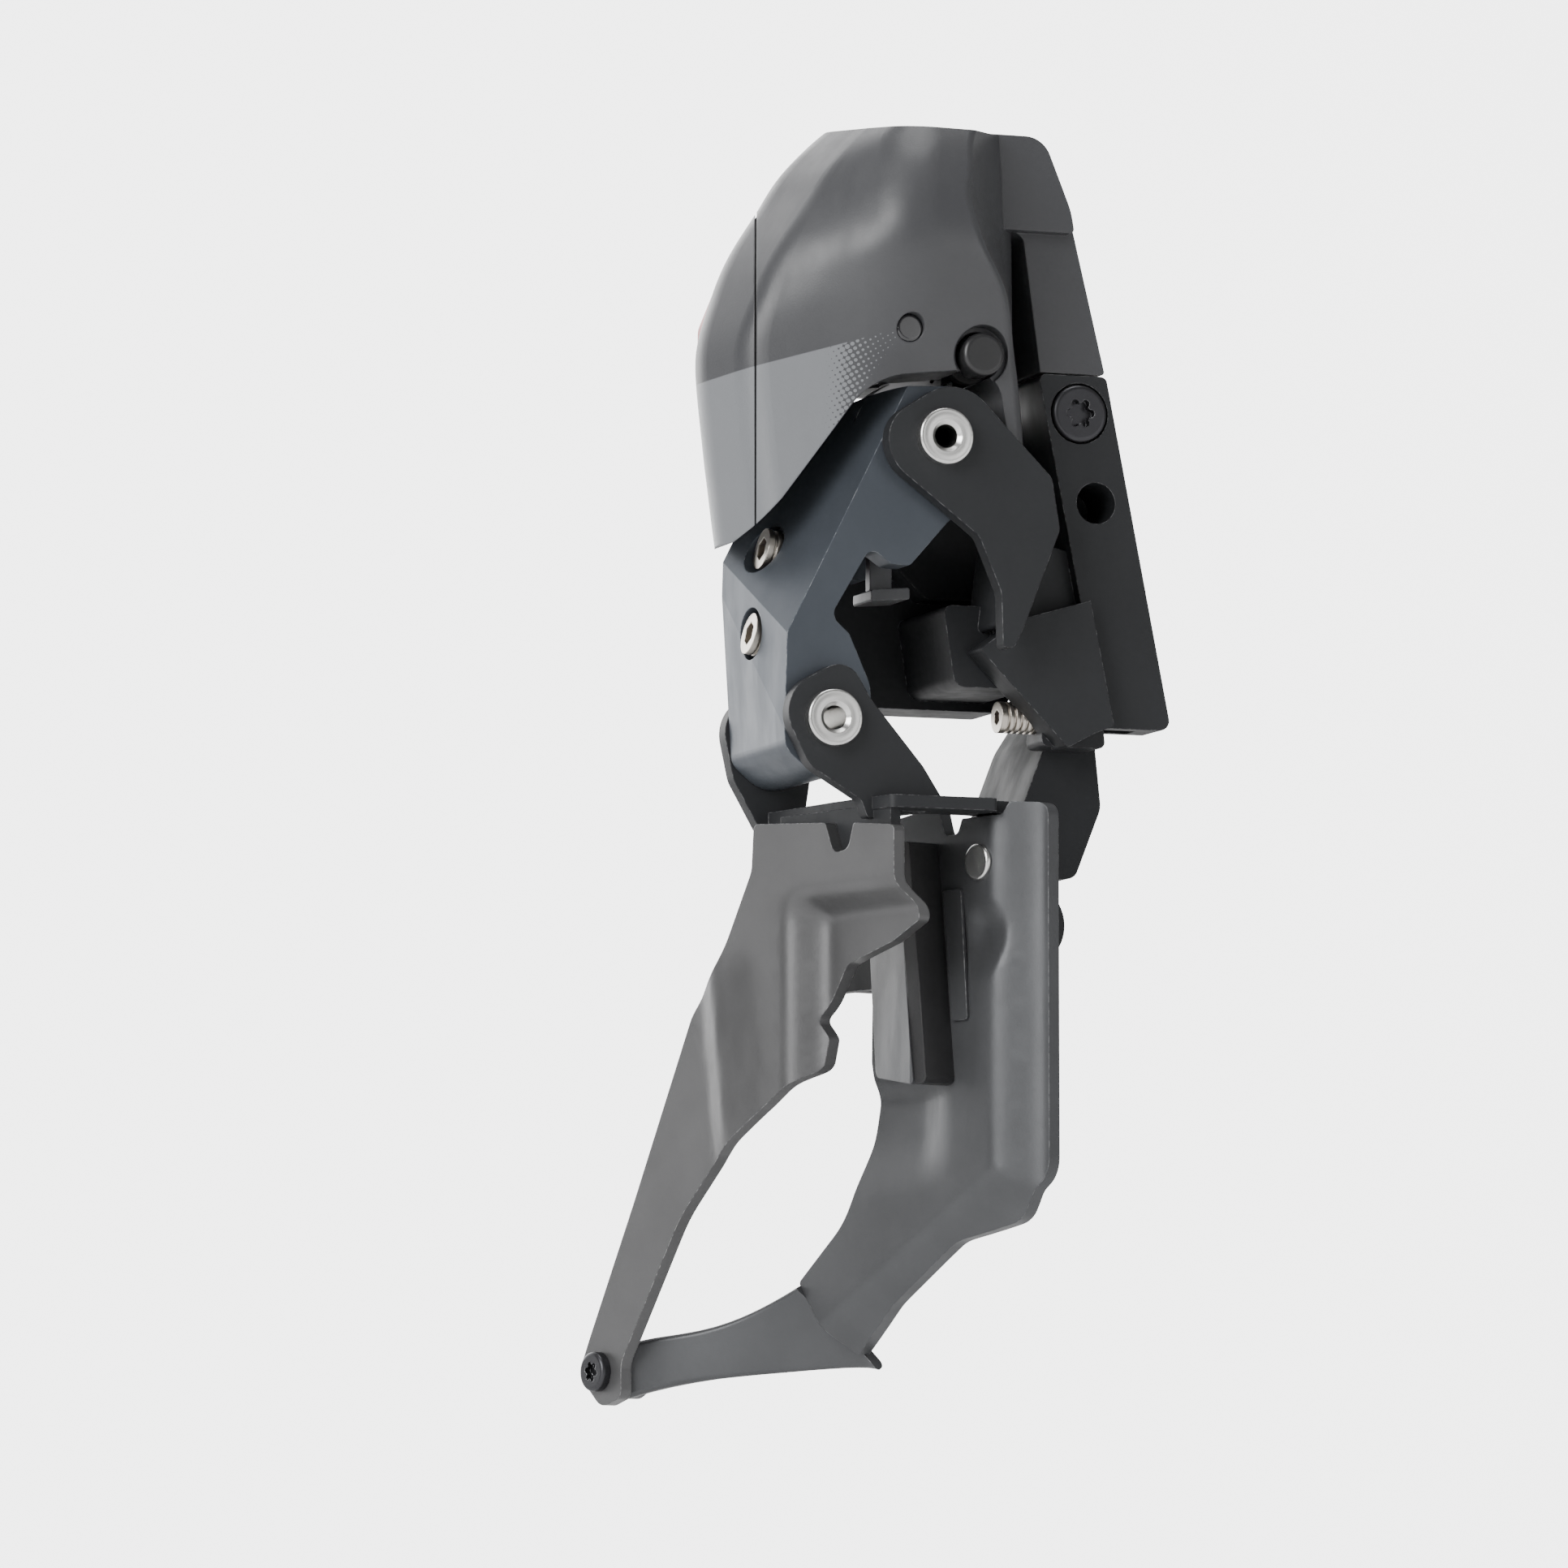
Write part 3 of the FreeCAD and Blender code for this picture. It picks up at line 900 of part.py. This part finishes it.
def make_stop_lever():
    """T-shaped stop pressed into the outer link, which meets the gear case at the inboard limit."""
    body = new_body("stop_lever")
    pad(body, "Blade", "XZ_Plane", -11, 1.4, [[(-5.2, -10.0), (-2.4, -10.0), (-2.4, -18.4), (-5.2, -18.4)]])
    pad(body, "Bar", "XZ_Plane", -8.6, 6.2, [[(-5.9, -17.4, 0.3), (-1.0, -17.0, 0.3), (-1.0, -18.4, 0.3),
                                             (-5.9, -18.8, 0.3)]])


make_stop_lever()
make_button()
make_lens()
make_button_seal()
make_gasket()
make_tray()
make_block()
make_latch()
make_inner_works()
make_screws()
make_drive()


# ---------------------------------------------------------------- write the sub-parts
doc.recompute()
for obj in doc.Objects:
    if "Invalid" in obj.State or "Error" in obj.State:
        raise RuntimeError(f"{obj.Label} did not recompute: {obj.State}")
os.makedirs("parts", exist_ok=True)
for node in NODES:
    shape = node.Shape
    if shape.isNull() or not shape.isValid() or shape.Volume <= 0:
        raise RuntimeError(f"{node.Label} has no valid shape")
    shape.exportStep(f"parts/{node.Label}.step")
    print(f"{node.Label}: {shape.Volume:.1f} mm3, {len(shape.Solids)} solid(s)")
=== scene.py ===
"""Looks, light and camera for the electronic front derailleur. Metres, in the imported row's frame."""
import json
import math

import bpy
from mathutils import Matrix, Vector


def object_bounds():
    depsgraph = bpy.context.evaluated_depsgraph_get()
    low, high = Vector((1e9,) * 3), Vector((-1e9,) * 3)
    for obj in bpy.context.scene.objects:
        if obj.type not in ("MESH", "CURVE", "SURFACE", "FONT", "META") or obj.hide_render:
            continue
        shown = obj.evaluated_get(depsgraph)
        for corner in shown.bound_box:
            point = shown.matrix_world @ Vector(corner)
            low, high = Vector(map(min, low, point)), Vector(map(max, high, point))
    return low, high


MM = 0.001
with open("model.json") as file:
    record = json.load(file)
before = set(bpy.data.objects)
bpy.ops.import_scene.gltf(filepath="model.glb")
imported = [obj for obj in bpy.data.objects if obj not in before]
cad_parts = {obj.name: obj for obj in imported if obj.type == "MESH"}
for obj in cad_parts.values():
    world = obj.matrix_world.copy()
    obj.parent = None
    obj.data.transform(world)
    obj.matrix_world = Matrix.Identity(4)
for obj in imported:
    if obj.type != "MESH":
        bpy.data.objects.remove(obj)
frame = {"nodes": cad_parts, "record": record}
CAD_BOX = [list(corner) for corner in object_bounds()]
PIVOT = Vector((-25.0, -22.0, 0.0)) * MM  # the upper outer pivot, which the linkage was drawn around

# camera: the photograph's viewing angle
TARGET = Vector((-45.1, -22.0, -42.1)) * MM
AZIMUTH, ELEVATION = math.radians(-20.0), math.radians(-6.0)
DISTANCE = 1.0
LENS, SENSOR = 195.65, 36.0

# stage
FLOOR_DROP = 60 * MM
FLOOR_SIZE = 12
FLOOR_TONES = ((0.80, 0.80, 0.80), (0.84, 0.84, 0.84))
BACKDROP, ROOM = 4.6, 0.30  # world radiance behind the part, and on the camera's side
ROOM_EDGE, BACKDROP_EDGE = 0.45, 0.93  # how far along +Y a direction has to point for each
LIGHTS = (  # name, place, size, power
    ("key", (-0.80, -0.50, 0.35), 0.6, 11.0),
    ("fill", (0.55, -0.8, -0.1), 0.6, 1.6),
    ("top", (0.0, -0.05, 0.8), 0.5, 4.0))


# ---------------------------------------------------------------- shader building blocks
class Shader:
    """One material with a Principled shader, and short calls to wire procedural nodes into it."""

    def __init__(self, name):
        self.material = bpy.data.materials.new(name)
        self.material.use_nodes = True
        self.tree = self.material.node_tree
        self.main = self.tree.nodes["Principled BSDF"]
        self.where = self.tree.nodes.new("ShaderNodeTexCoord").outputs["Object"]

    def put(self, socket, value):
        """Wires an output into a socket, or sets the socket's own value."""
        if isinstance(value, bpy.types.NodeSocket):
            self.tree.links.new(value, socket)
        elif isinstance(value, (tuple, list)) and len(socket.default_value) == 4:
            socket.default_value = (*value[:3], 1.0)
        else:
            socket.default_value = value

    def math(self, operation, *values):
        """One scalar operation on outputs or numbers."""
        node = self.tree.nodes.new("ShaderNodeMath")
        node.operation = operation
        for i, value in enumerate(values):
            self.put(node.inputs[i], value)
        return node.outputs[0]

    def vector_math(self, operation, *values):
        """One vector operation on outputs or vectors."""
        node = self.tree.nodes.new("ShaderNodeVectorMath")
        node.operation = operation
        for i, value in enumerate(values):
            self.put(node.inputs[i], value)
        return node.outputs["Value"] if operation in ("DOT_PRODUCT", "LENGTH") else node.outputs[0]

    def mapped(self, shift=(0, 0, 0), scale=(1, 1, 1), turn=(0, 0, 0)):
        """The object's own coordinates, scaled, turned and then shifted."""
        node = self.tree.nodes.new("ShaderNodeMapping")
        self.put(node.inputs["Vector"], self.where)
        node.inputs["Location"].default_value = shift
        node.inputs["Rotation"].default_value = turn
        node.inputs["Scale"].default_value = scale
        return node.outputs[0]

    def noise(self, size, detail=2.0, rough=0.5, vector=None):
        """Noise whose features are about size metres across, 0 to 1."""
        node = self.tree.nodes.new("ShaderNodeTexNoise")
        self.put(node.inputs["Vector"], vector or self.where)
        node.inputs["Scale"].default_value = 1.0 / size
        node.inputs["Detail"].default_value = detail
        node.inputs["Roughness"].default_value = rough
        return node.outputs["Fac"]

    def step(self, value, low, high, out_low=0.0, out_high=1.0):
        """A smooth step from out_low at low to out_high at high."""
        node = self.tree.nodes.new("ShaderNodeMapRange")
        node.interpolation_type = "SMOOTHSTEP"
        for socket, number in zip(("Value", "From Min", "From Max", "To Min", "To Max"),
                                  (value, low, high, out_low, out_high)):
            self.put(node.inputs[socket], number)
        return node.outputs["Result"]

    def mix(self, part, first, second):
        """Two colours mixed: all first at 0, all second at 1."""
        node = self.tree.nodes.new("ShaderNodeMix")
        node.data_type = "RGBA"
        self.put(node.inputs["Factor"], part)
        self.put(node.inputs[6], first)
        self.put(node.inputs[7], second)
        return node.outputs[2]

    def bump(self, height, depth, normal=None):
        """Relief of depth metres from a 0 to 1 height."""
        node = self.tree.nodes.new("ShaderNodeBump")
        node.inputs["Strength"].default_value = 1.0
        node.inputs["Distance"].default_value = depth
        self.put(node.inputs["Height"], height)
        if normal is not None:
            self.put(node.inputs["Normal"], normal)
        return node.outputs[0]

    def soft_edges(self, radius):
        """Normals rounded over an edge, and how much of an edge each place is, 0 to 1."""
        bevel = self.tree.nodes.new("ShaderNodeBevel")
        bevel.samples = 6
        bevel.inputs["Radius"].default_value = radius
        flat = self.tree.nodes.new("ShaderNodeNewGeometry").outputs["Normal"]
        alike = self.vector_math("DOT_PRODUCT", bevel.outputs[0], flat)
        return bevel.outputs[0], self.step(alike, 0.985, 0.80)


def shade(colour, factor):
    """A colour made lighter or darker by a factor."""
    return tuple(min(part * factor, 1.0) for part in colour)


def surface(name, colour, metallic=0.0, rough=0.4, grain=0.18 * MM, relief=0.006 * MM,
            edge=0.18 * MM, wear=0.0, wear_colour=(0.6, 0.6, 0.6), blotch=0.06, coat=0.0,
            specular=0.5, paint=None, relief_of=None):
    """A finish with fine grain, soft edges, slow tone changes and light wear on its edges."""
    shader = Shader(name)
    normal, edges = shader.soft_edges(edge)
    slow = shader.noise(9 * MM, 3.0)
    fine = shader.noise(grain, 2.0, 0.6)
    tone = shader.step(slow, 0.3, 0.7)
    base = shader.mix(tone, shade(colour, 1.0 - blotch), shade(colour, 1.0 + blotch))
    base = shader.mix(shader.math("MULTIPLY", fine, 0.25), base, shade(colour, 0.8))
    if paint:
        base = paint(shader, base)
    if wear:
        patches = shader.step(shader.noise(0.9 * MM, 4.0, 0.7), 0.45, 0.62)
        rubbed = shader.math("MULTIPLY", edges, patches)
        base = shader.mix(shader.math("MULTIPLY", rubbed, wear), base, wear_colour)
    shader.put(shader.main.inputs["Base Color"], base)
    low, high = rough * 0.88, min(rough * 1.14, 1.0)
    smear = shader.noise(3.5 * MM, 4.0, 0.6, shader.mapped(scale=(1.0, 1.0, 0.35)))
    shader.put(shader.main.inputs["Roughness"], shader.step(smear, 0.25, 0.75, low, high))
    shader.main.inputs["Metallic"].default_value = metallic
    shader.main.inputs["Specular IOR Level"].default_value = specular
    shader.main.inputs["Coat Weight"].default_value = coat
    shader.main.inputs["Coat Roughness"].default_value = 0.12
    if relief_of:
        normal = shader.bump(relief_of(shader), relief, normal)
    else:
        normal = shader.bump(fine, relief, normal)
    shader.put(shader.main.inputs["Normal"], normal)
    return shader.material


# ---------------------------------------------------------------- reliefs and paint
def turned_rings(centre, pitch=0.11 * MM):
    """Lathe marks round an axis along Y."""
    def relief(shader):
        flat = shader.mapped(shift=tuple(-part for part in centre), scale=(1, 0, 1))
        far = shader.vector_math("LENGTH", flat)
        return shader.math("SINE", shader.math("MULTIPLY", far, 2 * math.pi / pitch))
    return relief


def brushed(turn=(0, 0, 0), along=40.0):
    """Fine lines, drawn out along Z before the turn."""
    def relief(shader):
        return shader.noise(0.16 * MM, 2.0, 0.6, shader.mapped(scale=(1, 1, 1 / along), turn=turn))
    return relief


PANEL_COLOUR = (0.17, 0.177, 0.187)
DOT_PITCH = 0.62 * MM


def light_panel(shader, base):
    """A plain light panel over the cover's lower part, breaking up into dots at its inboard end."""
    split = shader.tree.nodes.new("ShaderNodeSeparateXYZ")
    shader.put(split.inputs[0], shader.mapped(shift=tuple(-part for part in PIVOT)))
    x, z = split.outputs["X"], split.outputs["Z"]
    rise = shader.math("MULTIPLY", x, 0.27)
    top = shader.math("SUBTRACT", shader.math("ADD", rise, 14.2 * MM), z)
    below_top = shader.step(top, -0.05 * MM, 0.1 * MM)
    lean = shader.math("MULTIPLY", shader.math("SUBTRACT", z, 9.0 * MM), 0.62)
    inboard = shader.math("SUBTRACT", shader.math("ADD", lean, -7.4 * MM), x)
    in_front = shader.step(inboard, -0.05 * MM, 0.1 * MM)
    cells = shader.mapped(shift=tuple(-part for part in PIVOT), turn=(0, math.radians(32), 0),
                          scale=(1 / DOT_PITCH, 0, 1 / DOT_PITCH))
    centred = shader.vector_math("SUBTRACT", shader.vector_math("FRACTION", cells), (0.5, 0.0, 0.5))
    flat = shader.vector_math("MULTIPLY", centred, (1, 0, 1))
    far = shader.vector_math("LENGTH", flat)
    size = shader.step(x, -15.5 * MM, -7.2 * MM, 0.78, 0.12)
    dot = shader.step(shader.math("SUBTRACT", size, far), -0.03, 0.03)
    mask = shader.math("MULTIPLY", shader.math("MULTIPLY", below_top, in_front), dot)
    return shader.mix(mask, base, PANEL_COLOUR)


# ---------------------------------------------------------------- finishes
BLACK_ANODISED = (0.020, 0.021, 0.023)
LINK_GREY = (0.070, 0.080, 0.095)
PLATE_LIGHT = (0.105, 0.105, 0.107)
PLATE_DARK = (0.075, 0.077, 0.081)
HOUSING = (0.05, 0.051, 0.055)
STEEL = (0.74, 0.735, 0.72)
WORN = (0.52, 0.53, 0.54)

FINISHES = {
    "bracket_black": dict(colour=BLACK_ANODISED, metallic=0.0, rough=0.52, specular=0.3, wear=0.4,
                          wear_colour=WORN),
    "link_grey": dict(colour=LINK_GREY, metallic=0.5, rough=0.42, specular=0.4, wear=0.45,
                      wear_colour=WORN, grain=0.14 * MM),
    "link_black": dict(colour=BLACK_ANODISED, metallic=0.0, rough=0.58, specular=0.22, wear=0.4,
                       wear_colour=WORN),
    "plate_light": dict(colour=PLATE_LIGHT, metallic=0.55, rough=0.38, wear=0.5,
                        wear_colour=(0.7, 0.7, 0.7), grain=0.12 * MM),
    "plate_dark": dict(colour=PLATE_DARK, metallic=0.5, rough=0.42, wear=0.4, wear_colour=WORN,
                       grain=0.12 * MM),
    "screw_steel": dict(colour=(0.60, 0.56, 0.50), metallic=1.0, rough=0.30, grain=0.1 * MM,
                        relief=0.003 * MM),
    "screw_black": dict(colour=(0.06, 0.06, 0.065), metallic=0.9, rough=0.36, wear=0.5, wear_colour=WORN),
    "bush_polymer": dict(colour=(0.45, 0.44, 0.40), rough=0.5),
    "housing_grey": dict(colour=HOUSING, rough=0.40, grain=0.22 * MM, relief=0.012 * MM, edge=0.25 * MM,
                         paint=light_panel, blotch=0.04),
    "cover_grey": dict(colour=shade(HOUSING, 1.06), rough=0.38, grain=0.22 * MM, relief=0.012 * MM,
                       edge=0.25 * MM, paint=light_panel, blotch=0.04),
    "insert_grey": dict(colour=(0.055, 0.057, 0.061), rough=0.46, grain=0.3 * MM, relief=0.008 * MM),
    "edge_black": dict(colour=(0.016, 0.016, 0.017), rough=0.42, grain=0.25 * MM, relief=0.008 * MM),
    "button_black": dict(colour=(0.02, 0.02, 0.021), rough=0.32, grain=0.2 * MM),
    "lens_smoke": dict(colour=(0.012, 0.012, 0.014), rough=0.08, coat=0.8, relief=0.001 * MM),
    "seal_rubber": dict(colour=(0.02, 0.02, 0.02), rough=0.75, grain=0.25 * MM, relief=0.01 * MM),
    "board_green": dict(colour=(0.02, 0.11, 0.05), rough=0.3, coat=0.4),
    "motor_steel": dict(colour=(0.55, 0.55, 0.55), metallic=1.0, rough=0.28, relief=0.004 * MM,
                        relief_of=brushed()),
    "gearbox_black": dict(colour=(0.04, 0.04, 0.043), rough=0.5),
    "contact_brass": dict(colour=(0.85, 0.62, 0.26), metallic=1.0, rough=0.22, relief=0.002 * MM),
    "tray_black": dict(colour=(0.03, 0.03, 0.032), rough=0.48, grain=0.22 * MM, relief=0.01 * MM),
    "block_red": dict(colour=(0.36, 0.012, 0.010), rough=0.32, coat=0.15, grain=0.5 * MM,
                      relief=0.004 * MM),
    "latch_steel": dict(colour=(0.42, 0.42, 0.43), metallic=1.0, rough=0.27, relief=0.004 * MM,
                        relief_of=brushed((0, math.radians(90), 0))),
    "gear_steel": dict(colour=(0.5, 0.5, 0.51), metallic=1.0, rough=0.34),
    "gear_brass": dict(colour=(0.72, 0.54, 0.24), metallic=1.0, rough=0.32),
    "pivot_steel": dict(colour=STEEL, metallic=1.0, rough=0.24, grain=0.1 * MM, relief=0.003 * MM),
}

PIN_CENTRES = {
    "pivot_pin_upper_outer": (0.0, 0.0), "pivot_pin_lower_outer": (-14.1, -34.1),
    "pivot_pin_upper_inner": (28.5, -22.5), "pivot_pin_lower_inner": (14.4, -56.6)}


def dress():
    """Gives every CAD node its record slot's finish, and each pivot pin marks round its own axis."""
    made = {name: surface(name, **facts) for name, facts in FINISHES.items()}
    for name, (x, z) in PIN_CENTRES.items():
        centre = PIVOT + Vector((x, 0.0, z)) * MM
        facts = dict(FINISHES["pivot_steel"], relief=0.006 * MM, relief_of=turned_rings(centre))
        made[name] = surface(name, **facts)
    slots = {part["node"]: part["material_slot"] for part in frame["record"]["subparts"]}
    for name, piece in frame["nodes"].items():
        piece.data.materials.clear()
        piece.data.materials.append(made[name if name in made else slots[name]])


# ---------------------------------------------------------------- stage, light, camera
def make_floor():
    """A plain pale floor below the part."""
    low = CAD_BOX[0][2] - FLOOR_DROP
    bpy.ops.mesh.primitive_plane_add(size=FLOOR_SIZE, location=(0, 0, low))
    floor = bpy.context.object
    floor.name = "floor"
    shader = Shader("floor_paint")
    tone = shader.noise(0.4, 2.0)
    shader.put(shader.main.inputs["Base Color"], shader.mix(tone, *FLOOR_TONES))
    shader.main.inputs["Roughness"].default_value = 0.8
    floor.data.materials.append(shader.material)


def make_world():
    """Plain studio surroundings: bright behind the part, dimmer on the camera's side."""
    world = bpy.data.worlds.new("studio")
    bpy.context.scene.world = world
    world.use_nodes = True
    tree = world.node_tree
    way = tree.nodes.new("ShaderNodeTexCoord").outputs["Generated"]
    split = tree.nodes.new("ShaderNodeSeparateXYZ")
    tree.links.new(way, split.inputs[0])
    ramp = tree.nodes.new("ShaderNodeMapRange")
    ramp.interpolation_type = "SMOOTHSTEP"
    tree.links.new(split.outputs["Y"], ramp.inputs["Value"])
    ramp.inputs["From Min"].default_value = ROOM_EDGE
    ramp.inputs["From Max"].default_value = BACKDROP_EDGE
    ramp.inputs["To Min"].default_value = ROOM
    ramp.inputs["To Max"].default_value = BACKDROP
    background = tree.nodes["Background"]
    background.inputs["Color"].default_value = (1.0, 1.0, 1.0, 1.0)
    tree.links.new(ramp.outputs["Result"], background.inputs["Strength"])


def area_light(name, place, size, power):
    """A soft square light aimed at the middle of the part."""
    data = bpy.data.lights.new(name, "AREA")
    data.shape = "SQUARE"
    data.size = size
    data.energy = power
    light = bpy.data.objects.new(name, data)
    bpy.context.scene.collection.objects.link(light)
    light.location = place
    light.rotation_mode = "QUATERNION"
    light.rotation_quaternion = (TARGET - Vector(place)).to_track_quat("-Z", "Y")


def make_camera():
    """The photograph's angle: from the front, a little to the left and a little below."""
    data = bpy.data.cameras.new("camera")
    data.lens, data.sensor_width = LENS, SENSOR
    camera = bpy.data.objects.new("camera", data)
    bpy.context.scene.collection.objects.link(camera)
    back = Vector((math.sin(AZIMUTH) * math.cos(ELEVATION), -math.cos(AZIMUTH) * math.cos(ELEVATION),
                   math.sin(ELEVATION)))
    camera.location = TARGET + back * DISTANCE
    camera.rotation_mode = "QUATERNION"
    camera.rotation_quaternion = (-back).to_track_quat("-Z", "Y")
    data.clip_start, data.clip_end = 0.01, 50.0
    bpy.context.scene.camera = camera


dress()
make_floor()
make_world()
for facts in LIGHTS:
    area_light(*facts)
make_camera()
